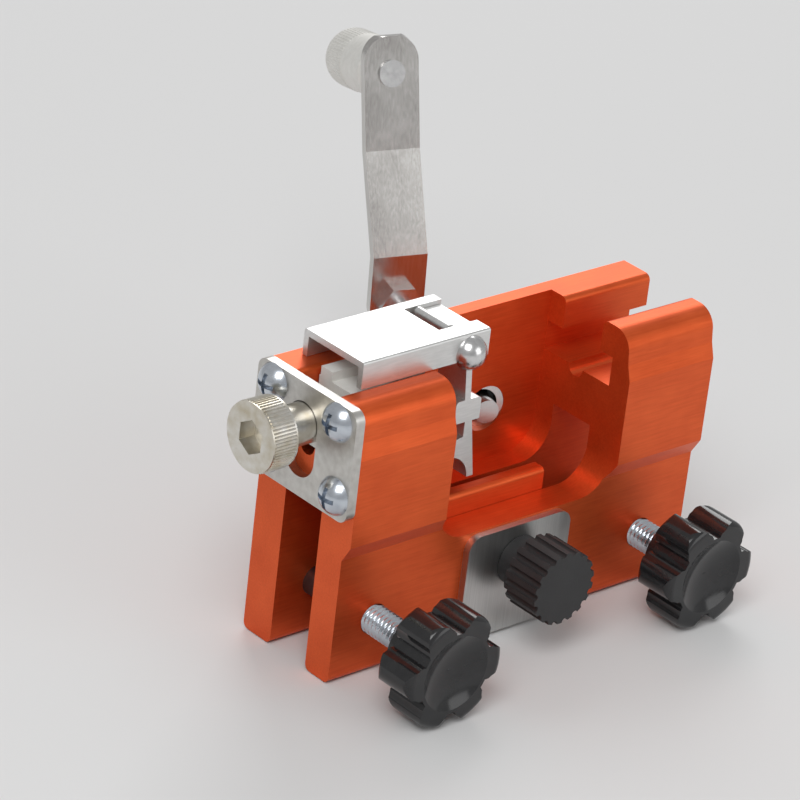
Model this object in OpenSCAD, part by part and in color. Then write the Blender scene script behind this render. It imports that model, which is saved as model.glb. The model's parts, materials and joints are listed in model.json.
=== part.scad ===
// Hand-crank chain sharpening jig that clamps over a guide bar.
// X runs along the bar, Y towards the crank, Z up.
// The origin is midway along the body, on the bar's mid plane, at the leg ends.

/* [Body] */

// length of the extrusion along the guide bar
body_length = 88; // [84:1:92]
// height from the leg ends to the crown
body_height = 55.9; // [55.5:0.1:57]
// distance of the front leg's face from the mid plane
front_leg = 11.7; // [11.4:0.1:12.2]
// distance of the front shoulder's face from the mid plane
front_shoulder = 13.7; // [13.3:0.1:14.2]
// distance of the front brow's edge from the mid plane
front_brow = 12.75; // [12.6:0.05:13]
// distance of the front crown's face from the mid plane
front_crown = 12.5; // [12.2:0.1:12.6]
// distance of the flat back face from the mid plane
back_face = 12.9; // [12.6:0.1:13.4]
// radius of the front crown
crown_round = 4.2; // [3.6:0.1:4.4]
// height of the step at its lower edge
step_low = 25.6; // [25:0.2:27]
// height of the step at its upper edge
step_high = 29; // [28:0.2:30]
// height where the shoulder starts to draw in
shoulder_top = 46.5; // [45.5:0.1:47]
// height of the brow's edge
brow_height = 49.6; // [49:0.1:50]
// half width of the slot that straddles the bar
bar_slot_half = 5.1; // [5:0.05:5.3]
// height of the bar slot's ceiling
bar_slot_height = 33.7; // [33:0.1:34.5]
// radius of the leg ends
leg_round = 1.3; // [0.8:0.1:2]
// height of the carriage track's floor
track_floor = 43.6; // [43.2:0.1:43.9]
// height of the underside of the track's lips
lip_under = 49.5; // [49.2:0.1:49.8]
// distance of the track's front side from the mid plane
track_front = 8.5; // [8.2:0.1:8.8]
// distance of the track's back side from the mid plane
track_rear = 9.6; // [9.4:0.1:9.7]
// distance of the front lip from the mid plane
mouth_front = 5; // [4.8:0.1:5.2]
// distance of the back lip from the mid plane
mouth_rear = 5.45; // [5.3:0.05:5.7]
// radius of the lips' upper edges
lip_round = 1.3; // [0.8:0.1:1.6]
// distance of the floor groove's centre behind the mid plane
groove_offset = 0.65; // [0.4:0.05:0.9]
// radius of the floor groove
groove_radius = 1.95; // [1.6:0.05:2.1]

/* [Window] */

// length of the milled window
window_length = 43.1; // [42:0.1:44]
// distance of the window's centre past the middle of the body
window_shift = 0.45; // [0:0.05:0.8]
// height of the window's sill
window_sill = 22.8; // [22.4:0.1:24]
// radius of the window's lower corners
window_round = 7; // [5:0.5:8]
// distance of the window's back face from the mid plane
window_back = 9.75; // [9.7:0.05:9.9]

/* [End plate] */

// thickness of the steel end plate
plate_thickness = 2; // [1.6:0.1:2.4]
// half width of the end plate
plate_half_width = 13.8; // [13.8:0.1:14.2]
// height of the end plate's lower edge
plate_low = 34.2; // [33.6:0.1:34.6]
// height of the end plate's upper edge
plate_high = 56.4; // [56:0.1:57]
// radius of the end plate's corners
plate_round = 2.2; // [1.6:0.1:3]
// half width of the slot that clears the adjuster
plate_slot_half = 4.1; // [4.05:0.05:4.4]
// lower centre of that slot
plate_slot_low = 42; // [41:0.2:43]
// height of the upper plate screws
screw_high = 52.8; // [52.6:0.1:52.9]
// height of the lower plate screws
screw_low = 38.6; // [38.4:0.1:39.2]
// distance of the upper front screw from the mid plane
screw_front_high = 8.85; // [8.7:0.05:9]
// distance of the lower front screw from the mid plane
screw_front_low = 10; // [9.6:0.1:10]
// distance of the back screws from the mid plane
screw_rear = 9.2; // [9:0.1:9.5]
// shank radius of the plate screws
screw_radius = 2; // [1.8:0.1:2.1]
// head radius of the plate screws
screw_head = 3.75; // [3.5:0.05:3.8]
// height of the plate screws' heads
screw_rise = 2.6; // [2.2:0.1:2.8]
// depth of the plate screws in the body
screw_depth = 10; // [7:0.5:12]
// width of one arm of the cross recess
cross_width = 0.9; // [0.7:0.1:1.1]
// span of the cross recess
cross_span = 4.2; // [3.6:0.1:4.6]
// depth of the cross recess
cross_depth = 1.5; // [1:0.1:1.8]

/* [Adjuster] */

// height of the adjuster's axis
adjuster_height = 48.6; // [48.3:0.1:48.8]
// distance of the adjuster's axis behind the mid plane
adjuster_offset = 0.4; // [0.2:0.05:0.6]
// thread radius of the adjuster
adjuster_radius = 3.95; // [3.8:0.05:4]
// radius of the adjuster's knurled head
adjuster_head = 6.65; // [6.4:0.05:6.8]
// length of the adjuster's knurled head
adjuster_head_length = 5.6; // [5:0.1:6.5]
// distance from the body's end to the back of the head
adjuster_stand_off = 8.4; // [8:0.1:9.5]
// radius across the corners of the hexagon socket
socket_radius = 3.46; // [3.2:0.02:3.8]
// depth of the hexagon socket
socket_depth = 3.5; // [2.5:0.1:4]
// radius of the adjuster's plain journal
journal_radius = 2.5; // [2.3:0.05:2.7]
// radius of the groove for the adjuster's clip
journal_neck = 2; // [1.8:0.05:2.1]
// length of the journal beyond its clip
journal_tail = 0.8; // [0.5:0.1:1.2]
// thickness of the retaining clips
clip_thickness = 0.8; // [0.6:0.05:0.9]
// outer radius of the adjuster's clip
adjuster_clip_radius = 4.2; // [3.6:0.1:4.3]
// thickness of the T-shaped nut
nut_thickness = 3; // [2.5:0.1:3.4]
// height of the nut's top
nut_top = 54; // [53.4:0.1:54.6]

/* [Carriage] */

// distance from the body's end to the sliding block
block_set_back = 5.2; // [5.1:0.1:5.4]
// length of the sliding block
block_length = 16.5; // [16.3:0.1:16.6]
// height of the sliding block's neck
block_top = 54.4; // [54:0.1:54.8]
// length of the block's head inside the channel
block_head_length = 8.7; // [7:0.1:10]
// distance of the block's tab behind the mid plane
tab_front = 1.7; // [1:0.1:2]
// width of the block's tab
tab_width = 3.2; // [2.6:0.1:3.4]
// height of the block's tab
tab_top = 56.3; // [55.9:0.1:58]
// distance from the body's end to the channel
channel_set_back = 5.6; // [5:0.1:5.8]
// length of the channel
channel_length = 30.4; // [30:0.1:31]
// distance of the channel's front face from the mid plane
channel_front = 5.7; // [5.5:0.1:5.9]
// distance of the channel's back face from the mid plane
channel_rear = 10.85; // [10.8:0.05:11.2]
// height of the channel's section
channel_height = 5.3; // [5.2:0.1:5.5]
// wall of the channel
channel_wall = 1.3; // [1.2:0.05:1.3]
// radius of the channel's edges
channel_round = 0.5; // [0.3:0.1:0.6]
// length of the notch between the channel's ears
notch_length = 9.2; // [9.1:0.1:9.6]
// distance of the notch's front edge before the mid plane
notch_front = 1.75; // [1.6:0.05:2]
// distance of the notch's back edge behind the mid plane
notch_rear = 8.1; // [8:0.1:8.4]

/* [Pawl] */

// distance of the pawl's pin before the middle of the body
pin_place = 12.5; // [12.4:0.1:12.6]
// height of the pawl's pin
pin_height = 57.4; // [57.4:0.05:57.5]
// shank radius of the pawl's pin
pin_radius = 1.2; // [1:0.05:1.2]
// radius of the pin's domed head
pin_head = 3.4; // [3:0.1:3.6]
// height of the pin's domed head
pin_head_rise = 3; // [2.4:0.1:3]
// radius of the pawl's hub
hub_radius = 2.4; // [2.1:0.05:2.45]
// thickness of the pawl's top plate
lid_thickness = 1.2; // [1:0.05:1.4]
// height of the top plate's upper face above the pin
lid_height = 3; // [2.8:0.05:3.1]
// length of the top plate before the pin
lid_before = 2; // [1.8:0.1:2.2]
// length of the top plate past the pin
lid_after = 4.2; // [4:0.1:4.5]
// radius of the rolled ridge on the top plate
ridge_radius = 1; // [0.8:0.05:1]
// distance of the ridge from the ends of the top plate
ridge_inset = 0.5; // [0.3:0.1:0.8]
// distance of the pawl's front face from the mid plane, below the hub
pawl_front = 3.75; // [3.4:0.05:4]
// distance of the pawl's back face from the mid plane, below the hub
pawl_rear = 4; // [3.6:0.1:4.4]
// depth of the pawl's tip below the pin
pawl_drop = 27.7; // [27.3:0.1:28]
// radius of the hollow under the blade
blade_hollow = 5.3; // [5:0.05:5.4]
// radius of the weight's upper edges
weight_round = 0.8; // [0.5:0.1:1.2]

/* [Clamps] */

// distance of the clamps' centre before the middle of the body
clamp_shift = 0.9; // [0.5:0.1:1.3]
// distance of each clamp screw from the clamps' centre
clamp_reach = 33.5; // [33:0.1:34]
// height of the clamp screws
clamp_height = 11; // [10.5:0.1:11.5]
// thread radius of the clamp studs and the stop screws
stud_radius = 3; // [2.9:0.05:3.1]
// length of each clamp stud
stud_length = 24.6; // [24.2:0.1:25]
// distance of the studs' tips from the mid plane
stud_tip = 3.9; // [3.8:0.1:4.2]
// distance of the left star knob's back from the mid plane
left_knob_back = 22.5; // [22:0.1:23.5]
// distance of the right star knob's back from the mid plane
right_knob_back = 19.75; // [19.5:0.05:20.5]
// radius of the star knob's boss
boss_radius = 6; // [5.5:0.1:6.4]
// length of the star knob's boss
boss_length = 3.1; // [2.8:0.1:3.4]
// thickness of the star knob's lobed part
star_thickness = 9; // [8.6:0.1:9.4]
// radius of the star knob between its lobes
star_core = 8.2; // [8:0.05:8.4]
// distance of each lobe's centre from the axis
lobe_reach = 8; // [7.8:0.05:8.2]
// radius of each lobe
lobe_radius = 3.4; // [3.2:0.05:3.6]
// distance of each hollow's centre from the axis
hollow_reach = 11.9; // [11.7:0.05:12.1]
// radius of each hollow
hollow_radius = 3.2; // [3:0.05:3.4]
// number of lobes
lobe_count = 6; // [5:1:6]
// radius of the star knob's rims
star_round = 1.6; // [1:0.1:1.9]
// radius of the dish in the star knob's face
dish_radius = 7.5; // [7:0.1:7.8]
// depth of the dish
dish_depth = 2; // [1.4:0.1:2.2]
// distance of the stop screws' tips behind the mid plane
stop_tip = 1; // [0.8:0.1:1.4]
// distance of the stop screws' ends inside the back face
stop_inset = 0.4; // [0.2:0.1:0.8]
// radius across the corners of the stop screws' sockets
stop_socket = 1.73; // [1.5:0.01:1.9]
// depth of the stop screws' sockets
stop_socket_depth = 3; // [2:0.1:4]

/* [Bar rest] */

// width of the steel outer plate
outer_width = 25.5; // [24.5:0.1:26.5]
// height of the outer plate's lower edge
outer_low = 0.5; // [0.3:0.1:0.8]
// height of the outer plate's upper edge
outer_high = 22.4; // [22:0.1:22.6]
// thickness of the outer plate
outer_thickness = 1.5; // [1.2:0.1:1.8]
// radius of the outer plate's corners
outer_round = 3; // [2.4:0.1:3.8]
// width of the inner pad
pad_width = 24.8; // [24:0.1:25.4]
// thickness of the inner pad
pad_thickness = 3.4; // [3.2:0.1:3.4]
// height of the inner pad's lower edge
pad_low = 0.5; // [0.3:0.1:2]
// height of the inner pad's upper edge
pad_top = 27.3; // [26.8:0.1:27.5]
// radius of the inner pad's upper edges
pad_round = 1; // [0.6:0.1:1.4]
// height of the rest's screw
rest_height = 15; // [14.8:0.1:15.4]
// travel of the rest downwards
rest_down = 4; // [3.5:0.1:4]
// travel of the rest upwards
rest_up = 1.5; // [1:0.1:1.5]
// radius of the rest's screw
rest_screw_radius = 2.5; // [2.4:0.05:2.6]
// inset of the rest screw's end from the pad's back face
rest_screw_inset = 0.6; // [0.4:0.1:1]
// radius of the ribbed knob
ribbed_radius = 7.4; // [7.2:0.1:7.8]
// length of the ribbed knob
ribbed_length = 8.5; // [8:0.1:9]
// number of flutes on the ribbed knob
flute_count = 18; // [16:1:20]
// radius of one flute
flute_radius = 0.7; // [0.5:0.05:0.8]
// radius of the ribbed knob's collar
collar_radius = 5; // [4.6:0.1:5.4]
// length of the ribbed knob's collar
collar_length = 4.45; // [4.2:0.05:4.8]
// depth of the rest's screw in the knob
rest_grip = 10; // [8:0.5:11]

/* [Crank] */

// angle of the crank's axis away from square across the bar
crank_angle = 20; // [18:0.5:20.5]
// distance of the crank's axis past the middle, on the window's back face
crank_place = 8.2; // [8:0.1:8.6]
// height of the crank's axis
crank_height = 34; // [33.8:0.1:34.4]
// outer radius of the guide tube
tube_radius = 4.6; // [4.5:0.05:4.7]
// bore radius of the guide tube
tube_bore = 3.25; // [3.2:0.05:3.3]
// length of the guide tube
tube_length = 26.8; // [26.4:0.1:27.2]
// radius of the guide tube's collar
flange_radius = 6.2; // [5.8:0.1:6.4]
// thickness of the guide tube's collar
flange_thickness = 2.3; // [2:0.1:2.6]
// distance from the window's back face to the bush
bush_start = 17; // [16.8:0.1:17.4]
// length of the bush
bush_length = 8; // [7.5:0.1:8]
// radius of the drive shaft
shaft_radius = 2.3; // [2.25:0.05:2.4]
// radius of the groove for the shaft's clip
shaft_neck = 1.9; // [1.8:0.05:2]
// outer radius of the shaft's clip
shaft_clip_radius = 3; // [2.8:0.05:3.1]
// radius of the drive shaft's head
chuck_radius = 2.9; // [2.7:0.05:3]
// length of the drive shaft's head
chuck_length = 4.45; // [4.2:0.05:4.6]
// radius of the burr
burr_radius = 2.4; // [2.2:0.05:2.5]
// length of the burr
burr_length = 14; // [13.5:0.1:14.4]
// radius of the burr's shank
burr_shank = 1.5; // [1.4:0.05:1.6]
// length of the burr's shank in the drive shaft
burr_shank_length = 3.8; // [3.4:0.1:4]
// radius of the burr's set screw
burr_screw_radius = 0.9; // [0.7:0.05:1]
// distance from the window's back face to the crank arm
arm_start = 47; // [46.6:0.1:47.6]
// width across the flats of the crank's nut, halved
nut_half_flats = 4; // [3.8:0.05:4.2]
// height of the crank's nut
nut_rise = 3; // [2.8:0.1:3.2]
// radius of the shaft's rear head
shaft_head = 4.2; // [3.8:0.1:4.6]
// height of the shaft's rear head
shaft_head_rise = 2.5; // [2:0.1:2.8]
// lean of the crank arm at rest, in its own plane
arm_turn = 2; // [0:0.5:6]
// width of the crank arm
arm_width = 11.4; // [11:0.1:11.8]
// thickness of the crank arm
arm_thickness = 2; // [1.8:0.1:2.2]
// depth of the arm's foot below the shaft
arm_foot = 6.5; // [6.2:0.1:7]
// height of the arm's first bend above the shaft
arm_low_rise = 10; // [9.5:0.1:11]
// length of the arm between its bends
arm_middle = 21; // [20:0.1:22]
// length of the arm from its second bend to the grip
arm_upper = 15.25; // [14.5:0.05:16]
// length of the arm beyond the grip's bolt
arm_beyond = 7.4; // [7:0.1:8]
// lean of the arm between its bends
arm_middle_lean = 24; // [22:0.5:26]
// lean of the arm above its second bend
arm_upper_lean = 14; // [12:0.5:16]
// radius of the corners of the arm's upper end
arm_round = 5; // [4:0.1:5.4]
// radius of the grip
grip_radius = 6; // [5.6:0.1:6.4]
// length of the grip
grip_length = 20; // [18:0.5:22]
// chamfer of the grip's edges
grip_chamfer = 0.8; // [0.5:0.1:1.2]
// radius of the grip's bolt
bolt_radius = 2; // [1.8:0.05:2.1]
// radius of the bolt's front disc
bolt_disc = 2.7; // [2.5:0.1:3]
// thickness of the bolt's front disc
bolt_disc_rise = 0.5; // [0.4:0.1:0.8]
// radius of the bolt's rear head
bolt_head = 3.4; // [3.1:0.1:3.6]
// height of the bolt's rear head
bolt_head_rise = 2; // [1.6:0.1:2.4]

/* [Fits] */

// radial clearance of a turning fit
running_fit = 0.05; // [0.02:0.01:0.06]
// clearance of a sliding piece beside its guide
side_gap = 0.1; // [0.05:0.01:0.12]
// clearance of the block and the nut inside the track
track_gap = 0.25; // [0.2:0.05:0.3]
// clearance between neighbours that must not touch
free_gap = 0.3; // [0.2:0.05:0.35]
// overrun of every cut past the solid
overrun = 1; // [0.5:0.1:1.5]

/* [Hidden] */

$fn = 40;

// places along the bar
body_end = -body_length / 2;
block_start = body_end + block_set_back;
block_end = block_start + block_length;
channel_start = body_end + channel_set_back;
channel_end = channel_start + channel_length;
head_back = body_end - adjuster_stand_off;
clip_start = block_end + running_fit;
clip_end = clip_start + clip_thickness;
pin_x = -pin_place;
clamp_middle = -clamp_shift;

// places across the bar
channel_in_front = -channel_front + channel_wall;
channel_in_rear = channel_rear - channel_wall;
pad_front = -bar_slot_half + side_gap;
ribbed_back = -front_leg - outer_thickness - side_gap;

// heights
channel_low = body_height + side_gap;
channel_top = channel_low + channel_height;
channel_roof = channel_top - channel_wall;

// places on the crank's axis, from the window's back face
tube_start = tube_radius * tan(crank_angle) + running_fit;
tube_end = tube_start + tube_length;
flange_start = (back_face - window_back) / cos(crank_angle)
    + flange_radius * tan(crank_angle) + running_fit;
bush_end = bush_start + bush_length;
shaft_clip_start = bush_end + running_fit;
shaft_clip_end = shaft_clip_start + clip_thickness;
chuck_end = bush_start - running_fit;
chuck_start = chuck_end - chuck_length;
arm_back = arm_start + arm_thickness;

// the front of the arm, as places behind and above the shaft
bend_one = [0, arm_low_rise];
bend_two = bend_one + arm_middle * [sin(arm_middle_lean), cos(arm_middle_lean)];
grip_foot = bend_two + arm_upper * [sin(arm_upper_lean), cos(arm_upper_lean)];
arm_tip = grip_foot + arm_beyond * [sin(arm_upper_lean), cos(arm_upper_lean)];

// the grip's places on its own axis, from the arm's front face
grip_start = arm_thickness + free_gap;
grip_end = grip_start + grip_length;
bolt_end = grip_end - running_fit;
bolt_head_start = bolt_end - bolt_head_rise;

// sides of the pawl's stem, weight and blade, as shares of its drop,
// measured past the pin and below it
stem_shares = [[0.079, 0.42], [0.13, 0.42], [0.094, 0.05], [0.043, 0.05]];
neck_shares = [[0.101, 0.7], [0.155, 0.7], [0.155, 0.55], [0.101, 0.55]];
weight_shares = [[0.004, 0.404], [0.227, 0.57]];
blade_shares = [[0.101, 0.56], [0.101, 0.68], [-0.004, 0.7], [-0.004, 1], [0.235, 1], [0.162, 0.56]];
hollow_share = [-0.014, 1.007];

// Shared shapes

// Rectangle with round corners, centred on the origin.
module round_rectangle(width, height, corner) {
    square([width - 2 * corner, height], center = true);
    square([width, height - 2 * corner], center = true);
    for (side = [-1, 1], end = [-1, 1])
        translate([side * (width / 2 - corner), end * (height / 2 - corner)])
            circle(r = corner);
}

// Slot with round ends, from the first height to the second.
module upright_slot(radius, low, high) {
    translate([0, low])
        circle(r = radius);
    translate([0, high])
        circle(r = radius);
    translate([-radius, low])
        square([2 * radius, high - low]);
}

// Extrusion along the bar of a section drawn across it.
module along_bar(start, length) {
    translate([start, 0, 0])
        rotate([90, 0, 90])
            linear_extrude(height = length)
                children();
}

// Extrusion across the bar of a side view, from front to back.
module across_bar(front, rear) {
    translate([0, rear, 0])
        rotate([90, 0, 0])
            linear_extrude(height = rear - front)
                children();
}

// Round bar along the guide bar's length.
module rod_along(start, end, radius) {
    translate([start, 0, 0])
        rotate([0, 90, 0])
            cylinder(r = radius, h = end - start);
}

// Round bar across the guide bar, from front to back.
module rod_across(front, rear, radius) {
    translate([0, front, 0])
        rotate([-90, 0, 0])
            cylinder(r = radius, h = rear - front);
}

// Dome whose flat base is at the origin, bulging along Z.
module dome(radius, rise) {
    ball = (radius * radius + rise * rise) / (2 * rise);
    intersection() {
        translate([0, 0, rise - ball])
            sphere(r = ball);
        cylinder(r = radius, h = rise + overrun);
    }
}

// Retaining clip drawn flat, open on one side.
module clip_ring(outer, inner) {
    difference() {
        circle(r = outer);
        circle(r = inner);
        translate([-inner, 0])
            square([2 * inner, outer + overrun]);
    }
}

// Frame whose Y axis is the crank's axis, with its origin on the window's back face.
module crank_frame() {
    translate([crank_place, window_back, crank_height])
        rotate([0, 0, -crank_angle])
            children();
}

// Frame of the crank arm at rest, its origin on the shaft at the arm's front face.
module arm_frame() {
    crank_frame()
        translate([0, arm_start, 0])
            rotate([0, -arm_turn, 0])
                children();
}

// Frame of the grip, its origin on the arm's front face and its Y axis the grip's own.
module grip_frame() {
    arm_frame()
        translate([0, grip_foot[0], grip_foot[1]])
            rotate([-arm_upper_lean, 0, 0])
                children();
}

// Body

module body_outline() {
    polygon([
        [back_face, leg_round],
        [back_face, body_height - crown_round],
        [-front_crown, body_height - crown_round],
        [-front_brow, brow_height],
        [-front_shoulder, shoulder_top],
        [-front_shoulder, step_high],
        [-front_leg, step_low],
        [-front_leg, leg_round]]);
    translate([crown_round - front_crown, body_height - crown_round])
        circle(r = crown_round);
    translate([crown_round - front_crown, body_height - crown_round - overrun])
        square([front_crown - crown_round + back_face, crown_round + overrun]);
    leg_foot(-front_leg, -bar_slot_half);
    leg_foot(bar_slot_half, back_face);
}

// Round-edged foot of one leg.
module leg_foot(front, rear) {
    translate([front + leg_round, 0])
        square([rear - front - 2 * leg_round, 2 * leg_round]);
    for (place = [front + leg_round, rear - leg_round])
        translate([place, leg_round])
            circle(r = leg_round);
}

// Corner left between a lip's round upper edge and its square corner.
module lip_corner() {
    difference() {
        square([lip_round, lip_round + overrun]);
        translate([lip_round, 0])
            circle(r = lip_round);
    }
}

// Track for the carriage: a wide floor, a groove in it and a mouth between two lips.
module track_outline() {
    translate([-track_front, track_floor])
        square([track_front + track_rear, lip_under - track_floor]);
    translate([-mouth_front, track_floor])
        square([mouth_front + mouth_rear, body_height - track_floor + overrun]);
    translate([groove_offset, track_floor])
        circle(r = groove_radius);
    translate([mouth_rear, body_height - lip_round])
        lip_corner();
    translate([-mouth_front, body_height - lip_round])
        mirror([1, 0])
            lip_corner();
}

module body_section() {
    difference() {
        body_outline();
        translate([-bar_slot_half, -overrun])
            square([2 * bar_slot_half, bar_slot_height + overrun]);
        track_outline();
    }
}

// Side view of the milled window, open at the top.
module window_outline() {
    half = window_length / 2;
    translate([window_shift - half, window_sill + window_round])
        square([window_length, body_height - window_sill - window_round + overrun]);
    translate([window_shift - half + window_round, window_sill])
        square([window_length - 2 * window_round, body_height - window_sill]);
    for (side = [-1, 1])
        translate([window_shift + side * (half - window_round), window_sill + window_round])
            circle(r = window_round);
}

// One section carries the bar slot, the lipped track and the stepped front,
// and the round-cornered window and the slanted guide bore are cut through it.
module body() {
    front = -front_shoulder - overrun;
    color("OrangeRed")
        difference() {
            along_bar(body_end, body_length)
                body_section();
            across_bar(front, window_back)
                window_outline();
            clamp_places() {
                rod_across(front, 0, stud_radius + running_fit);
                rod_across(0, back_face + overrun, stud_radius);
            }
            across_bar(front, 0)
                translate([clamp_middle, 0])
                    upright_slot(rest_screw_radius + side_gap, rest_height - rest_down,
                        rest_height + rest_up);
            plate_screw_places()
                rod_along(-overrun, screw_depth, screw_radius);
            crank_frame()
                rod_across(-tube_radius, 2 * tube_radius, tube_radius);
        }
}

// End plate and its screws

module plate_screw_places() {
    for (place = [[-screw_front_high, screw_high], [-screw_front_low, screw_low],
            [screw_rear, screw_high], [screw_rear, screw_low]])
        translate([body_end, place[0], place[1]])
            children();
}

module end_plate() {
    color("Silver")
        difference() {
            along_bar(body_end - plate_thickness, plate_thickness)
                difference() {
                    translate([0, (plate_low + plate_high) / 2])
                        round_rectangle(2 * plate_half_width, plate_high - plate_low, plate_round);
                    translate([adjuster_offset, 0])
                        upright_slot(plate_slot_half, plate_slot_low, adjuster_height);
                }
            plate_screw_places()
                rod_along(-plate_thickness - overrun, overrun, screw_radius);
        }
}

module end_plate_screws() {
    color("LightSteelBlue")
        plate_screw_places()
            difference() {
                union() {
                    rod_along(-plate_thickness, screw_depth, screw_radius);
                    translate([-plate_thickness, 0, 0])
                        rotate([0, -90, 0])
                            dome(screw_head, screw_rise);
                }
                translate([-plate_thickness - screw_rise, 0, 0])
                    for (turn = [0, 90])
                        rotate([turn, 0, 0])
                            cube([2 * cross_depth, cross_width, cross_span], center = true);
            }
}

// Adjuster

// Section that fills the mouth between the lips.
module neck_filler(low, top) {
    translate([-mouth_front + track_gap, low])
        square([mouth_front + mouth_rear - 2 * track_gap, top - low]);
}

// Section that fills the carriage track up to a given height.
module track_filler(top) {
    translate([-track_front + track_gap, track_floor + track_gap])
        square([track_front + track_rear - 2 * track_gap, lip_under - track_floor - 2 * track_gap]);
    neck_filler(track_floor + track_gap, top);
}

module t_nut() {
    color("DarkGray")
        along_bar(body_end, nut_thickness)
            difference() {
                track_filler(nut_top);
                translate([adjuster_offset, adjuster_height])
                    circle(r = adjuster_radius + running_fit);
            }
}

module adjuster_screw() {
    head_face = head_back - adjuster_head_length;
    shank_end = block_start - track_gap;
    color("Gainsboro")
        translate([0, adjuster_offset, adjuster_height])
            difference() {
                union() {
                    rod_along(head_face, head_back, adjuster_head);
                    rod_along(head_back, shank_end, adjuster_radius);
                    rod_along(shank_end, clip_start, journal_radius);
                    rod_along(clip_start, clip_end, journal_neck);
                    rod_along(clip_end, clip_end + journal_tail, journal_radius);
                }
                translate([head_face - overrun, 0, 0])
                    rotate([0, 90, 0])
                        cylinder(r = socket_radius, h = socket_depth + overrun, $fn = 6);
            }
}

module adjuster_clip() {
    color("DimGray")
        along_bar(clip_start, clip_thickness)
            translate([adjuster_offset, adjuster_height])
                clip_ring(adjuster_clip_radius, journal_neck);
}

// Carriage

// Nylon block with a neck between the lips and a head pressed into the channel.
module slide_block() {
    color("Ivory")
        difference() {
            union() {
                along_bar(block_start, block_length) {
                    track_filler(block_top);
                    translate([tab_front, block_top - overrun])
                        square([tab_width, tab_top - block_top + overrun]);
                }
                along_bar(block_end - block_head_length, block_head_length) {
                    neck_filler(track_floor + track_gap, channel_low);
                    translate([channel_in_front, channel_low])
                        square([channel_in_rear - channel_in_front, channel_roof - channel_low]);
                }
            }
            translate([0, adjuster_offset, adjuster_height])
                rod_along(block_start - overrun, block_end + overrun, journal_radius + running_fit);
        }
}

module carriage_channel() {
    width = channel_front + channel_rear;
    color("Gainsboro")
        difference() {
            along_bar(channel_start, channel_length)
                difference() {
                    union() {
                        translate([-channel_front, channel_low])
                            square([width, channel_height - channel_wall]);
                        translate([-channel_front + width / 2, channel_low + channel_height / 2])
                            round_rectangle(width, channel_height, channel_round);
                    }
                    translate([channel_in_front, channel_low - overrun])
                        square([channel_in_rear - channel_in_front, channel_roof - channel_low + overrun]);
                }
            translate([channel_end - notch_length, -notch_front, channel_roof - overrun])
                cube([notch_length + overrun, notch_front + notch_rear, channel_wall + 2 * overrun]);
            translate([pin_x, 0, pin_height])
                rod_across(-channel_front - overrun, channel_rear + overrun, pin_radius);
        }
}

module pawl_pin() {
    color("Silver")
        translate([pin_x, 0, pin_height]) {
            rod_across(-channel_front, channel_rear, pin_radius);
            translate([0, -channel_front, 0])
                rotate([90, 0, 0])
                    dome(pin_head, pin_head_rise);
        }
}

// Pawl

// Point of the pawl's side view, from its share of the drop.
function pawl_point(share) = [share[0] * pawl_drop, -share[1] * pawl_drop];

// Weight in the middle of the stem, with round upper edges.
module weight_side() {
    low = pawl_point([weight_shares[0][0], weight_shares[1][1]]);
    width = pawl_point(weight_shares[1])[0] - low[0];
    height = pawl_point(weight_shares[0])[1] - low[1];
    translate(low) {
        square([width, height - weight_round]);
        translate([weight_round, 0])
            square([width - 2 * weight_round, height]);
        for (place = [weight_round, width - weight_round])
            translate([place, height - weight_round])
                circle(r = weight_round);
    }
}

// Side view of the stem, the weight and the blade.
module pawl_side() {
    polygon([for (share = stem_shares) pawl_point(share)]);
    polygon([for (share = neck_shares) pawl_point(share)]);
    weight_side();
    difference() {
        polygon([for (share = blade_shares) pawl_point(share)]);
        translate(pawl_point(hollow_share))
            circle(r = blade_hollow);
    }
}

module pawl() {
    color("WhiteSmoke")
        translate([pin_x, 0, pin_height])
            difference() {
                union() {
                    rod_across(channel_in_front + side_gap, channel_in_rear - side_gap, hub_radius);
                    translate([-lid_before, side_gap - notch_front, lid_height - lid_thickness])
                        cube([lid_before + lid_after, notch_front + notch_rear - 2 * side_gap,
                            lid_thickness]);
                    translate([ridge_radius / 2 - lid_before, 0, lid_height])
                        rod_across(ridge_inset - notch_front, notch_rear - ridge_inset, ridge_radius);
                    across_bar(-pawl_front, pawl_rear)
                        pawl_side();
                }
                rod_across(-channel_front, channel_rear, pin_radius + running_fit);
            }
}

// Clamps

module clamp_place(side) {
    translate([clamp_middle + side * clamp_reach, 0, clamp_height])
        children();
}

module clamp_places() {
    for (side = [-1, 1])
        clamp_place(side)
            children();
}

module star_outline() {
    difference() {
        union() {
            circle(r = star_core);
            for (lobe = [1 : lobe_count])
                rotate([0, 0, 360 * lobe / lobe_count])
                    translate([lobe_reach, 0])
                        circle(r = lobe_radius);
        }
        for (lobe = [1 : lobe_count])
            rotate([0, 0, 360 * (lobe + 1 / 2) / lobe_count])
                translate([hollow_reach, 0])
                    circle(r = hollow_radius);
    }
}

// Half section of a disc with round rims.
module rim_outline(radius) {
    square([radius - star_round, star_thickness]);
    translate([0, star_round])
        square([radius, star_thickness - 2 * star_round]);
    for (rim = [star_round, star_thickness - star_round])
        translate([radius - star_round, rim])
            circle(r = star_round);
}

// Star knob standing on its boss, with a blind hole for its stud.
module star_knob(grip) {
    ball = (dish_radius * dish_radius + dish_depth * dish_depth) / (2 * dish_depth);
    difference() {
        union() {
            cylinder(r = boss_radius, h = boss_length + star_round);
            translate([0, 0, boss_length])
                intersection() {
                    linear_extrude(height = star_thickness)
                        star_outline();
                    rotate_extrude()
                        rim_outline(lobe_reach + lobe_radius);
                }
        }
        translate([0, 0, boss_length + star_thickness - dish_depth + ball])
            sphere(r = ball);
        translate([0, 0, -overrun])
            cylinder(r = stud_radius, h = grip + overrun);
    }
}

module placed_knob(side, back) {
    color("Black")
        clamp_place(side)
            translate([0, -back, 0])
                rotate([90, 0, 0])
                    star_knob(stud_tip + stud_length - back);
}

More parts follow.
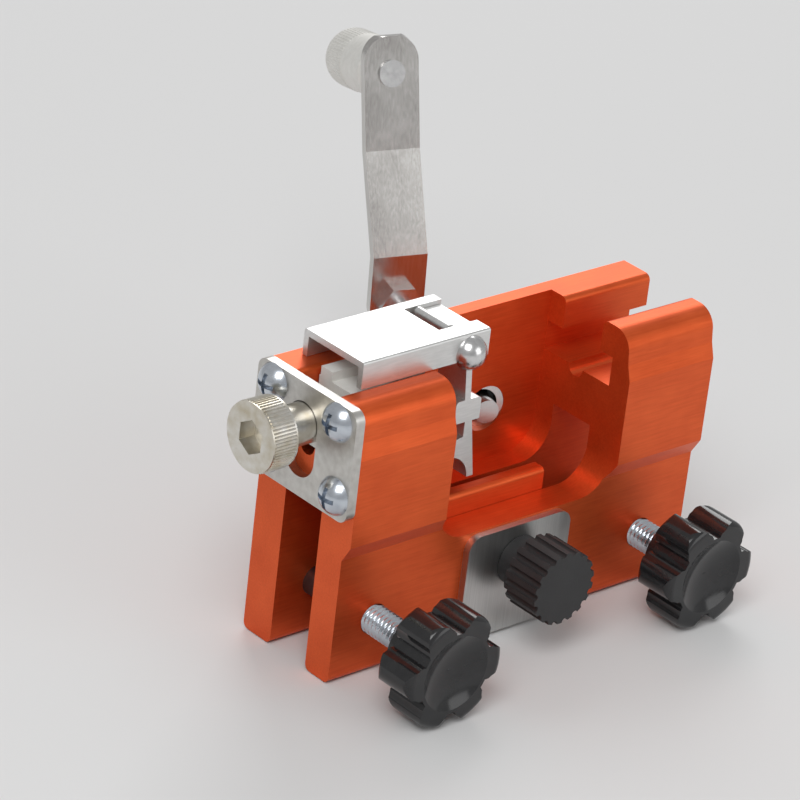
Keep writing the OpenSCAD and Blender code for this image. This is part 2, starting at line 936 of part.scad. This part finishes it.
module stud(side) {
    color("Silver")
        clamp_place(side)
            rod_across(-stud_tip - stud_length, -stud_tip, stud_radius);
}

module left_stud() {
    stud(-1);
}

module left_knob() {
    placed_knob(-1, left_knob_back);
}

module right_stud() {
    stud(1);
}

module right_knob() {
    placed_knob(1, right_knob_back);
}

// Set screws in the back leg, which the bar is clamped against.
module back_stop_screws() {
    stop_end = back_face - stop_inset;
    color("DimGray")
        clamp_places()
            difference() {
                rod_across(stop_tip, stop_end, stud_radius);
                translate([0, stop_end + overrun, 0])
                    rotate([90, 0, 0])
                        cylinder(r = stop_socket, h = stop_socket_depth + overrun, $fn = 6);
            }
}

// Bar rest

module outer_plate() {
    color("Gray")
        across_bar(-front_leg - outer_thickness, -front_leg)
            translate([clamp_middle, 0])
                difference() {
                    translate([0, (outer_low + outer_high) / 2])
                        round_rectangle(outer_width, outer_high - outer_low, outer_round);
                    translate([0, rest_height])
                        circle(r = rest_screw_radius + running_fit);
                }
}

module rest_pad() {
    color("OrangeRed")
        difference() {
            along_bar(clamp_middle - pad_width / 2, pad_width) {
                translate([pad_front, pad_low])
                    square([pad_thickness, pad_top - pad_round - pad_low]);
                translate([pad_front + pad_round, pad_low])
                    square([pad_thickness - 2 * pad_round, pad_top - pad_low]);
                for (place = [pad_round, pad_thickness - pad_round])
                    translate([pad_front + place, pad_top - pad_round])
                        circle(r = pad_round);
            }
            translate([clamp_middle, 0, rest_height])
                rod_across(-bar_slot_half - overrun, 0, rest_screw_radius + running_fit);
        }
}

module centre_stud() {
    color("Silver")
        translate([clamp_middle, 0, rest_height])
            rod_across(ribbed_back - rest_grip, pad_front + pad_thickness - rest_screw_inset,
                rest_screw_radius);
}

module centre_knob() {
    color("Black")
        translate([clamp_middle, ribbed_back, rest_height])
            rotate([90, 0, 0])
                difference() {
                    union() {
                        cylinder(r = collar_radius, h = collar_length + overrun);
                        translate([0, 0, collar_length])
                            linear_extrude(height = ribbed_length)
                                difference() {
                                    circle(r = ribbed_radius);
                                    for (flute = [1 : flute_count])
                                        rotate([0, 0, 360 * flute / flute_count])
                                            translate([ribbed_radius, 0])
                                                circle(r = flute_radius);
                                }
                    }
                    translate([0, 0, -overrun])
                        cylinder(r = rest_screw_radius, h = rest_grip + overrun);
                }
}

// Crank

module guide_tube() {
    color("Silver")
        crank_frame()
            difference() {
                union() {
                    rod_across(tube_start, tube_end, tube_radius);
                    rod_across(flange_start, flange_start + flange_thickness, flange_radius);
                }
                rod_across(tube_start - overrun, tube_end + overrun, tube_bore);
            }
}

module shaft_bush() {
    color("Peru")
        crank_frame()
            difference() {
                rod_across(bush_start, bush_end, tube_bore - running_fit);
                rod_across(bush_start - overrun, bush_end + overrun, shaft_radius + running_fit);
            }
}

module drive_shaft() {
    color("LightGray")
        crank_frame()
            difference() {
                union() {
                    rod_across(chuck_start, chuck_end, chuck_radius);
                    rod_across(chuck_end, shaft_clip_start, shaft_radius);
                    rod_across(shaft_clip_start, shaft_clip_end, shaft_neck);
                    rod_across(shaft_clip_end, arm_back, shaft_radius);
                    rod_across(arm_back, arm_back + shaft_head_rise, shaft_head);
                }
                rod_across(chuck_start - overrun, chuck_start + burr_shank_length, burr_shank);
                translate([0, chuck_start + chuck_length / 2, 0])
                    cylinder(r = burr_screw_radius, h = chuck_radius + overrun);
            }
}

module shaft_clip() {
    color("DimGray")
        crank_frame()
            across_bar(shaft_clip_start, shaft_clip_end)
                clip_ring(shaft_clip_radius, shaft_neck);
}

module burr() {
    color("DarkGray")
        crank_frame() {
            rod_across(chuck_start - burr_length, chuck_start, burr_radius);
            rod_across(chuck_start, chuck_start + burr_shank_length, burr_shank);
        }
}

// Set screw that holds the burr's shank, just below the surface of the shaft's head.
module burr_set_screw() {
    color("DimGray")
        crank_frame()
            translate([0, chuck_start + chuck_length / 2, 0])
                difference() {
                    cylinder(r = burr_screw_radius, h = chuck_radius - side_gap);
                    rod_across(-chuck_length, chuck_length, burr_shank);
                }
}

module crank_nut() {
    nut_start = arm_start - nut_rise;
    color("Silver")
        crank_frame()
            difference() {
                translate([0, nut_start, 0])
                    rotate([-90, 0, 0])
                        cylinder(r = nut_half_flats / cos(30), h = nut_rise, $fn = 6);
                rod_across(nut_start - overrun, arm_start + overrun, shaft_radius);
            }
}

// Point on the arm's back opposite a bend between two leans.
function behind(bend, lean_a, lean_b) =
    bend + arm_thickness / cos((lean_b - lean_a) / 2)
        * [cos((lean_a + lean_b) / 2), -sin((lean_a + lean_b) / 2)];

module arm_side() {
    foot = [bend_one[0], -arm_foot];
    polygon([
        foot,
        bend_one,
        bend_two,
        arm_tip,
        behind(arm_tip, arm_upper_lean, arm_upper_lean),
        behind(bend_two, arm_middle_lean, arm_upper_lean),
        behind(bend_one, 0, arm_middle_lean),
        behind(foot, 0, 0)]);
}

module arm_front_view() {
    foot_centre = arm_width / 2 - arm_foot;
    corner = arm_tip[1] - arm_round;
    translate([0, foot_centre])
        circle(r = arm_width / 2);
    translate([-arm_width / 2, foot_centre])
        square([arm_width, corner - foot_centre]);
    translate([arm_round - arm_width / 2, 0])
        square([arm_width - 2 * arm_round, arm_tip[1]]);
    for (side = [-1, 1])
        translate([side * (arm_width / 2 - arm_round), corner])
            circle(r = arm_round);
}

module crank_arm() {
    color("LightGray")
        arm_frame()
            difference() {
                intersection() {
                    along_bar(-arm_width / 2, arm_width)
                        arm_side();
                    across_bar(-arm_width, 3 * arm_width)
                        arm_front_view();
                }
                rod_across(-overrun, arm_thickness + overrun, shaft_radius);
                translate([0, grip_foot[0], grip_foot[1]])
                    rotate([-arm_upper_lean, 0, 0])
                        rod_across(-overrun, arm_thickness + overrun, bolt_radius);
            }
}

// Rivet through the arm: a thin disc in front and a head sunk in the grip's end.
module grip_bolt() {
    color("LightGray")
        grip_frame() {
            rod_across(-bolt_disc_rise, 0, bolt_disc);
            rod_across(0, bolt_head_start, bolt_radius);
            rod_across(bolt_head_start, bolt_end, bolt_head);
        }
}

module grip_knob() {
    color("WhiteSmoke")
        grip_frame()
            difference() {
                union() {
                    rod_across(grip_start + grip_chamfer, grip_end - grip_chamfer, grip_radius);
                    for (turn = [0, 1])
                        translate([0, turn == 0 ? grip_start + grip_chamfer : grip_end - grip_chamfer, 0])
                            rotate([90 + 180 * turn, 0, 0])
                                cylinder(r1 = grip_radius, r2 = grip_radius - grip_chamfer, h = grip_chamfer);
                }
                rod_across(grip_start - overrun, grip_end + overrun, bolt_radius + running_fit);
                rod_across(bolt_head_start - running_fit, grip_end + overrun, bolt_head + running_fit);
            }
}

// The whole part, or the one node that is asked for

body();
end_plate();
end_plate_screws();
t_nut();
adjuster_screw();
adjuster_clip();
slide_block();
carriage_channel();
pawl_pin();
pawl();
left_stud();
left_knob();
right_stud();
right_knob();
outer_plate();
rest_pad();
centre_stud();
centre_knob();
back_stop_screws();
guide_tube();
shaft_bush();
drive_shaft();
shaft_clip();
burr();
burr_set_screw();
crank_nut();
crank_arm();
grip_bolt();
grip_knob();
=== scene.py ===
# %% [markdown]
# The imported model is the frame of this scene. Every node already stands where the
# construction puts it, so nothing is moved here. The box of the imported model is
# kept, and the floor is laid under it. The box is kept, because the dressed object
# has to stay inside it.
# %% Load the imported model
import json
import math
import bmesh
import bpy
from mathutils import Matrix, Vector


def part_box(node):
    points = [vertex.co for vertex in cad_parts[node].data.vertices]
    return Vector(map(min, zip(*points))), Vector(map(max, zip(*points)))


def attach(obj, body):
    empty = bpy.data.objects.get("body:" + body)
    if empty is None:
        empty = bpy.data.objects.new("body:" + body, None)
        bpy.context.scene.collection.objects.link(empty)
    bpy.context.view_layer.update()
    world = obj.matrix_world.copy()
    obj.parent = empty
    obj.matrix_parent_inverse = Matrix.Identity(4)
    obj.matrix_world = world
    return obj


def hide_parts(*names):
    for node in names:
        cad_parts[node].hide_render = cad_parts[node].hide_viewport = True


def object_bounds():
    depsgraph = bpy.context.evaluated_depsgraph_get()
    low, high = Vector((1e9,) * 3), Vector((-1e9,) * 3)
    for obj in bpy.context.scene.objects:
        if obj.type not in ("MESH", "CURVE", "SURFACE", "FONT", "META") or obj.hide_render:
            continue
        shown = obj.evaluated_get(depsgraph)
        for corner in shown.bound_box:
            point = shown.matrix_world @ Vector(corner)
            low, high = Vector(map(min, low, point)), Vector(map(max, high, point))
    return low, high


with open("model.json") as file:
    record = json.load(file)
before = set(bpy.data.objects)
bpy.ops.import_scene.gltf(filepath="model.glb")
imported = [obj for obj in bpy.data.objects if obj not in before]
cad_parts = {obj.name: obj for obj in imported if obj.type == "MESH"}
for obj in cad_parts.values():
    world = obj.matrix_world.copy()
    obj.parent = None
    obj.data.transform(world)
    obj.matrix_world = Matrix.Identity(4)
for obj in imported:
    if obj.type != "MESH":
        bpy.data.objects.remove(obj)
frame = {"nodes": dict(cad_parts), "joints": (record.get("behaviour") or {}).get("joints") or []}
cad_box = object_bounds()

# %% [markdown]
# Real metal and plastic are never one flat colour. Painting each piece would take long
# and would need picture files, so a pattern is calculated instead. It mixes two noises
# in equal parts: a grain, stretched along the way in which the piece was drawn or
# brushed, and round blotches just under a centimetre wide. Object coordinates are in
# metres, so a stretch of 1000 gives marks about a millimetre wide.
# %% A pattern of grain and blotches
BLOTCH_SCALE = 130.0
BLOTCH_DETAIL = 3.0
EQUAL_PART = 0.5


def grain_and_blotches(nodes, links, stretch, detail):
    place = nodes.new("ShaderNodeTexCoord")
    stretched = nodes.new("ShaderNodeMapping")
    stretched.inputs["Scale"].default_value = stretch
    grain = nodes.new("ShaderNodeTexNoise")
    grain.inputs["Scale"].default_value = 1.0
    grain.inputs["Detail"].default_value = detail
    blotch = nodes.new("ShaderNodeTexNoise")
    blotch.inputs["Scale"].default_value = BLOTCH_SCALE
    blotch.inputs["Detail"].default_value = BLOTCH_DETAIL
    half_blotch = nodes.new("ShaderNodeMath")
    half_blotch.operation = "MULTIPLY"
    half_blotch.inputs[1].default_value = EQUAL_PART
    both = nodes.new("ShaderNodeMath")
    both.operation = "MULTIPLY_ADD"
    both.inputs[1].default_value = EQUAL_PART
    links.new(place.outputs["Object"], stretched.inputs["Vector"])
    links.new(stretched.outputs["Vector"], grain.inputs["Vector"])
    links.new(place.outputs["Object"], blotch.inputs["Vector"])
    links.new(blotch.outputs["Fac"], half_blotch.inputs[0])
    links.new(grain.outputs["Fac"], both.inputs[0])
    links.new(half_blotch.outputs[0], both.inputs[2])
    return grain.outputs["Fac"], both.outputs[0]


# %% [markdown]
# One helper turns the pattern into a finish. The mixed pattern chooses between a dark
# and a light colour and between a smoother and a rougher gloss. The grain alone also
# raises the surface a little. A Mix node keeps sockets for every kind of value, and
# those for colours are found by their number.
# %% A helper for finishes
TINT_LOW = 0.3
TINT_HIGH = 0.7
DARK_SOCKET = 6
LIGHT_SOCKET = 7
COLOUR_SOCKET = 2
BUMP_STRENGTH = 0.35
PLAIN_DETAIL = 4.0
FINE_DETAIL = 6.0


def finish(name, dark, light, metal, roughness, stretch, height, detail=PLAIN_DETAIL):
    material = bpy.data.materials.new(name)
    material.use_nodes = True
    nodes = material.node_tree.nodes
    links = material.node_tree.links
    shader = nodes["Principled BSDF"]
    shader.inputs["Metallic"].default_value = metal
    grain, both = grain_and_blotches(nodes, links, stretch, detail)
    spread = nodes.new("ShaderNodeMapRange")
    spread.inputs["From Min"].default_value = TINT_LOW
    spread.inputs["From Max"].default_value = TINT_HIGH
    links.new(both, spread.inputs["Value"])
    tint = nodes.new("ShaderNodeMix")
    tint.data_type = "RGBA"
    tint.inputs[DARK_SOCKET].default_value = (*dark, 1.0)
    tint.inputs[LIGHT_SOCKET].default_value = (*light, 1.0)
    links.new(spread.outputs["Result"], tint.inputs[0])
    links.new(tint.outputs[COLOUR_SOCKET], shader.inputs["Base Color"])
    rough = nodes.new("ShaderNodeMapRange")
    rough.inputs["To Min"].default_value = roughness[0]
    rough.inputs["To Max"].default_value = roughness[1]
    links.new(both, rough.inputs["Value"])
    links.new(rough.outputs["Result"], shader.inputs["Roughness"])
    bump = nodes.new("ShaderNodeBump")
    bump.inputs["Strength"].default_value = BUMP_STRENGTH
    bump.inputs["Distance"].default_value = height
    links.new(grain, bump.inputs["Height"])
    links.new(bump.outputs["Normal"], shader.inputs["Normal"])
    return material


# %% [markdown]
# The body looks like extruded aluminium, anodised orange: satin, with faint lines
# along its length. The stretch is therefore small along X and large across it.
# %% Orange anodising
anodised = finish("orange_anodising", dark=(0.66, 0.085, 0.016), light=(0.82, 0.13, 0.03),
                  metal=0.72, roughness=(0.30, 0.46), stretch=(160, 2600, 2600),
                  height=0.00002)
print("made", anodised.name)

# %% [markdown]
# Sheet and extruded pieces often show which way they were worked. The channel and the
# pawl look like satin aluminium. The end plate is mottled alike in every direction, so
# its stretch is even. The outer plate is brushed upright, and the crank arm is
# polished, with long fine scratches.
# %% Sheet and extruded metal
aluminium = finish("satin_aluminium", dark=(0.66, 0.66, 0.65), light=(0.82, 0.82, 0.81),
                   metal=0.9, roughness=(0.28, 0.42), stretch=(300, 2200, 2200),
                   height=0.00001)
nickel = finish("mottled_nickel", dark=(0.46, 0.44, 0.41), light=(0.70, 0.69, 0.66),
                metal=1.0, roughness=(0.22, 0.48), stretch=(700, 700, 700),
                height=0.00002, detail=FINE_DETAIL)
brushed = finish("upright_brushing", dark=(0.50, 0.50, 0.49), light=(0.68, 0.68, 0.67),
                 metal=1.0, roughness=(0.26, 0.44), stretch=(4200, 4200, 90),
                 height=0.00002)
polished = finish("scratched_polish", dark=(0.48, 0.46, 0.44), light=(0.66, 0.65, 0.63),
                  metal=1.0, roughness=(0.14, 0.30), stretch=(2600, 2600, 120),
                  height=0.00001, detail=FINE_DETAIL)
print("made 4 sheet and extruded metals")

# %% [markdown]
# Turned pieces and fasteners differ by their coat. The screws and studs look like
# bright zinc with a blue cast, the adjuster's knurl has a yellow stain, and the grip
# is pale and half metallic. The photograph does not show the fasteners behind and
# inside, nor the bush, so their finishes are guesses: blackened steel and dull
# sintered bronze.
# %% Turned metal and coats
turned = finish("turned_steel", dark=(0.56, 0.56, 0.56), light=(0.74, 0.74, 0.74),
                metal=1.0, roughness=(0.16, 0.32), stretch=(900, 900, 900),
                height=0.00001)
zinc = finish("blue_zinc", dark=(0.50, 0.54, 0.60), light=(0.68, 0.72, 0.77),
              metal=1.0, roughness=(0.16, 0.34), stretch=(800, 800, 800),
              height=0.00001)
stained = finish("stained_knurl", dark=(0.52, 0.46, 0.34), light=(0.80, 0.79, 0.76),
                 metal=1.0, roughness=(0.20, 0.42), stretch=(500, 500, 500),
                 height=0.00002, detail=FINE_DETAIL)
blackened = finish("blackened_steel", dark=(0.05, 0.05, 0.055), light=(0.11, 0.11, 0.115),
                   metal=0.9, roughness=(0.35, 0.5), stretch=(900, 900, 900),
                   height=0.00001)
bronze = finish("sintered_bronze", dark=(0.40, 0.23, 0.10), light=(0.58, 0.36, 0.17),
                metal=1.0, roughness=(0.4, 0.6), stretch=(2400, 2400, 2400),
                height=0.00002)
pale_grip = finish("pale_grip", dark=(0.70, 0.69, 0.65), light=(0.82, 0.81, 0.78),
                   metal=0.45, roughness=(0.42, 0.55), stretch=(900, 900, 900),
                   height=0.00001)
print("made 6 turned metals and coats")

# %% [markdown]
# The plastics are not metallic. The star knobs are glossy, the centre knob is matt with
# a fine texture, and the sliding block looks like milky nylon.
# %% Plastics
gloss_black = finish("gloss_black", dark=(0.010, 0.010, 0.011), light=(0.020, 0.020, 0.021),
                     metal=0.0, roughness=(0.10, 0.20), stretch=(600, 600, 600),
                     height=0.000004)
matt_black = finish("matt_black", dark=(0.014, 0.014, 0.015), light=(0.030, 0.030, 0.031),
                    metal=0.0, roughness=(0.50, 0.68), stretch=(3800, 3800, 3800),
                    height=0.00003)
nylon = finish("milky_nylon", dark=(0.74, 0.74, 0.70), light=(0.86, 0.86, 0.83),
               metal=0.0, roughness=(0.38, 0.50), stretch=(700, 700, 700),
               height=0.00001)
print("made 3 plastics")

# %% [markdown]
# Each node's own material slots get its finish. The meshes are not touched.
# %% Dress the nodes
dress = {
    anodised: ["body", "rest_pad"],
    aluminium: ["carriage_channel", "pawl"],
    nickel: ["end_plate", "t_nut"],
    brushed: ["outer_plate"],
    polished: ["crank_arm"],
    turned: ["guide_tube", "drive_shaft", "burr", "crank_nut", "grip_bolt", "pawl_pin"],
    zinc: ["end_plate_screws", "left_stud", "right_stud", "centre_stud"],
    stained: ["adjuster_screw"],
    blackened: ["back_stop_screws", "adjuster_clip", "shaft_clip", "burr_set_screw"],
    bronze: ["shaft_bush"],
    pale_grip: ["grip_knob"],
    gloss_black: ["left_knob", "right_knob"],
    matt_black: ["centre_knob"],
    nylon: ["slide_block"],
}
for material, names in dress.items():
    for name in names:
        for holder in frame["nodes"][name].material_slots:
            holder.material = material
dressed = sum(len(names) for names in dress.values())
print("dressed", dressed, "of", len(frame["nodes"]), "nodes")

# %% [markdown]
# The clamp studs are threaded, and the bare length beside each star knob shows it.
# Bump alone would leave the outline smooth, so the thread is real geometry. It is one
# surface: rings along the axis whose radius rises and falls once for each pitch, and
# whose phase turns with the angle, which is what makes it a helix.
# %% A threaded rod
PITCH = 0.001
THREAD_DEPTH = 0.0005
RINGS_PER_PITCH = 8
SIDES = 32


def threaded_stud(name, node):
    low, high = (Vector(corner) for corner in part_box(node))
    middle = (low + high) / 2
    radius = (high.x - low.x) / 2
    shape = bmesh.new()
    count = round((high.y - low.y) / PITCH * RINGS_PER_PITCH)
    rings = []
    for step in range(count + 1):
        along = (high.y - low.y) * step / count
        ring = []
        for side in range(SIDES):
            turn = side / SIDES
            phase = (along / PITCH + turn) % 1.0
            here = radius - THREAD_DEPTH * abs(2 * phase - 1)
            ring.append(shape.verts.new((middle.x + here * math.cos(2 * math.pi * turn),
                                         low.y + along,
                                         middle.z + here * math.sin(2 * math.pi * turn))))
        rings.append(ring)
    for near, far in zip(rings, rings[1:]):
        for side in range(SIDES):
            after = (side + 1) % SIDES
            shape.faces.new((near[side], near[after], far[after], far[side]))
    shape.faces.new(rings[0])
    shape.faces.new(rings[-1])
    bmesh.ops.recalc_face_normals(shape, faces=shape.faces)
    mesh = bpy.data.meshes.new(name)
    shape.to_mesh(mesh)
    shape.free()
    piece = bpy.data.objects.new(name, mesh)
    bpy.context.collection.objects.link(piece)
    piece.data.materials.append(zinc)
    return piece


# %% [markdown]
# Each threaded rod takes the place of the plain stud that it is measured from, and
# rides on the same body.
# %% Threads on the clamp studs
for side in ("left", "right"):
    stud = threaded_stud(side + "_thread", side + "_stud")
    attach(stud, side + "_stud")
    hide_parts(side + "_stud")
    print(stud.name, len(stud.data.polygons), "faces")

# %% [markdown]
# Knurling repeats one ridge round a head, so Geometry Nodes make it. A circle has one
# point for each ridge, and a thin rod stands on each point, a little more than half
# sunk in the head. The tree has named inputs, so the adjuster and the grip share it.
# %% A ring of ridges
ROD_SIDES = 6


def ridge_tree():
    tree = bpy.data.node_groups.new("knurl_ring", "GeometryNodeTree")
    sockets = {}
    for label, kind in (("Ridges", "NodeSocketInt"), ("Ring Radius", "NodeSocketFloat"),
                        ("Ridge Length", "NodeSocketFloat"),
                        ("Ridge Radius", "NodeSocketFloat"),
                        ("Finish", "NodeSocketMaterial")):
        item = tree.interface.new_socket(label, in_out="INPUT", socket_type=kind)
        sockets[label] = item.identifier
    tree.interface.new_socket("Geometry", in_out="OUTPUT", socket_type="NodeSocketGeometry")
    given = tree.nodes.new("NodeGroupInput")
    made = tree.nodes.new("NodeGroupOutput")
    ring = tree.nodes.new("GeometryNodeMeshCircle")
    rod = tree.nodes.new("GeometryNodeMeshCylinder")
    rod.inputs["Vertices"].default_value = ROD_SIDES
    spread = tree.nodes.new("GeometryNodeInstanceOnPoints")
    real = tree.nodes.new("GeometryNodeRealizeInstances")
    paint = tree.nodes.new("GeometryNodeSetMaterial")
    link = tree.links.new
    link(given.outputs["Ridges"], ring.inputs["Vertices"])
    link(given.outputs["Ring Radius"], ring.inputs["Radius"])
    link(given.outputs["Ridge Length"], rod.inputs["Depth"])
    link(given.outputs["Ridge Radius"], rod.inputs["Radius"])
    link(ring.outputs["Mesh"], spread.inputs["Points"])
    link(rod.outputs["Mesh"], spread.inputs["Instance"])
    link(spread.outputs["Instances"], real.inputs["Geometry"])
    link(real.outputs["Geometry"], paint.inputs["Geometry"])
    link(given.outputs["Finish"], paint.inputs["Material"])
    link(paint.outputs["Geometry"], made.inputs["Geometry"])
    return tree, sockets


knurl_ring, knurl_sockets = ridge_tree()
print("made", knurl_ring.name, "with", len(knurl_sockets), "inputs")

# %% [markdown]
# A modifier makes the ring on an empty mesh. The tree makes its instances real, because
# the export drops them. The result is copied as a plain mesh and turned onto the
# head's own axis.
# %% A knurl on a head
def knurl(name, centre, axis, material, **sizes):
    holder = bpy.data.objects.new(name + "_maker", bpy.data.meshes.new(name + "_maker"))
    bpy.context.collection.objects.link(holder)
    maker = holder.modifiers.new("knurl", "NODES")
    maker.node_group = knurl_ring
    for label, value in sizes.items():
        maker[knurl_sockets[label.replace("_", " ")]] = value
    maker[knurl_sockets["Finish"]] = material
    graph = bpy.context.evaluated_depsgraph_get()
    mesh = bpy.data.meshes.new_from_object(holder.evaluated_get(graph), depsgraph=graph)
    bpy.data.objects.remove(holder)
    turn = Vector((0, 0, 1)).rotation_difference(axis).to_matrix().to_4x4()
    mesh.transform(Matrix.Translation(centre) @ turn)
    piece = bpy.data.objects.new(name, mesh)
    bpy.context.collection.objects.link(piece)
    print(name, len(mesh.polygons), "faces")
    return piece


# %% [markdown]
# The adjuster's head is a cap screw head, knurled all round for the fingers. Its
# radius is measured from the node, and a narrow plain edge is left at both ends.
# %% Adjuster knurl
HEAD_LENGTH = 0.0056
HEAD_PLAIN_EDGE = 0.0004
HEAD_RIDGES = 64
HEAD_RIDGE_RADIUS = 0.00022
HEAD_RIDGE_SINK = 0.00005

low, high = (Vector(corner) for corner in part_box("adjuster_screw"))
head_radius = (high.z - low.z) / 2
head_middle = Vector((low.x + HEAD_LENGTH / 2, (low.y + high.y) / 2, (low.z + high.z) / 2))
head_knurl = knurl("adjuster_knurl", head_middle, Vector((1, 0, 0)), stained,
                   Ridges=HEAD_RIDGES, Ring_Radius=head_radius - HEAD_RIDGE_SINK,
                   Ridge_Length=HEAD_LENGTH - 2 * HEAD_PLAIN_EDGE,
                   Ridge_Radius=HEAD_RIDGE_RADIUS)
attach(head_knurl, "adjuster")

# %% [markdown]
# The grip is smooth next to the arm and knurled at its far end. Its axis is the one
# that its joint turns about, so it is read from the frame.
# %% Grip knurl
GRIP_KNURL_REACH = 0.0172
GRIP_RING_RADIUS = 0.00592
GRIP_RIDGES = 60
GRIP_RIDGE_LENGTH = 0.0075
GRIP_RIDGE_RADIUS = 0.0002

spin = next(joint for joint in frame["joints"] if joint["name"] == "grip_spin")
grip_axis = Vector(spin["axis"]).normalized()
grip_middle = Vector(spin["pos_m"]) + grip_axis * GRIP_KNURL_REACH
grip_knurl = knurl("grip_knurl", grip_middle, grip_axis, pale_grip, Ridges=GRIP_RIDGES,
                   Ring_Radius=GRIP_RING_RADIUS, Ridge_Length=GRIP_RIDGE_LENGTH,
                   Ridge_Radius=GRIP_RIDGE_RADIUS)
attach(grip_knurl, "grip")

# %% [markdown]
# The jig stands over a plain pale floor, a fifth of a millimetre under its legs, so
# that no face of the floor lies in a face of the jig. The floor is large enough to
# fill the whole picture.
# %% Floor
FLOOR_REACH = 6.0
FLOOR_GAP = 0.0002
FLOOR_COLOUR = (0.72, 0.72, 0.72, 1.0)
FLOOR_ROUGHNESS = 0.9

floor_height = cad_box[0][2] - FLOOR_GAP
floor_shape = bmesh.new()
corners = [floor_shape.verts.new((x * FLOOR_REACH, y * FLOOR_REACH, floor_height))
           for x, y in ((-1, -1), (1, -1), (1, 1), (-1, 1))]
floor_shape.faces.new(corners)
floor_mesh = bpy.data.meshes.new("floor")
floor_shape.to_mesh(floor_mesh)
floor_shape.free()
floor = bpy.data.objects.new("floor", floor_mesh)
bpy.context.collection.objects.link(floor)
floor_paint = bpy.data.materials.new("pale_floor")
floor_paint.use_nodes = True
floor_shader = floor_paint.node_tree.nodes["Principled BSDF"]
floor_shader.inputs["Base Color"].default_value = FLOOR_COLOUR
floor_shader.inputs["Roughness"].default_value = FLOOR_ROUGHNESS
floor.data.materials.append(floor_paint)
print("floor at", round(floor_height * 1000, 2), "mm")

# %% [markdown]
# Soft studio light comes from three square lamps and an even pale world. The key lamp
# hangs above the camera, a second lamp stands behind the jig, and a wide weak one
# stands low on the right.
# %% Light
LAMP_TARGET = Vector((0, 0, 0.03))
WORLD_COLOUR = (1, 1, 1, 1)
WORLD_STRENGTH = 0.45


def soft_lamp(name, place, size, watts):
    lamp = bpy.data.lights.new(name, "AREA")
    lamp.size = size
    lamp.energy = watts
    holder = bpy.data.objects.new(name, lamp)
    bpy.context.collection.objects.link(holder)
    holder.location = place
    aim = LAMP_TARGET - Vector(place)
    holder.rotation_euler = aim.to_track_quat("-Z", "Y").to_euler()
    print(name, watts, "W")


soft_lamp("key", place=(-0.7, -0.5, 1.1), size=0.7, watts=8.0)
soft_lamp("rim", place=(0.7, 0.8, 0.9), size=0.6, watts=5.0)
soft_lamp("front", place=(0.5, -1.2, 0.5), size=0.8, watts=3.0)
world = bpy.data.worlds.new("studio")
bpy.context.scene.world = world
world.use_nodes = True
world.node_tree.nodes["Background"].inputs["Color"].default_value = WORLD_COLOUR
world.node_tree.nodes["Background"].inputs["Strength"].default_value = WORLD_STRENGTH

# %% [markdown]
# The camera was worked out from points measured on the photograph, so it stands at
# the same angle and distance, with a long lens. Its right, down and forward
# directions in the frame's axes say how it is turned.
# %% Camera
SENSOR_MM = 36.0
LENS_MM = 192.3
CLIP_START = 0.01
CAMERA_PLACE = (-0.5045, -0.50495, 0.3904)

lens = bpy.data.cameras.new("camera")
lens.sensor_width = SENSOR_MM
lens.lens = LENS_MM
lens.clip_start = CLIP_START
camera = bpy.data.objects.new("camera", lens)
bpy.context.collection.objects.link(camera)
right = Vector((0.7547, -0.6474, 0.1062))
down = Vector((-0.2164, -0.3985, -0.8913))
forward = Vector((0.6193, 0.6497, -0.4409))
turn = Matrix((right, -down, -forward)).transposed().to_4x4()
camera.matrix_world = Matrix.Translation(CAMERA_PLACE) @ turn
bpy.context.scene.camera = camera
bpy.context.scene.view_settings.view_transform = "Standard"
print("camera ready")
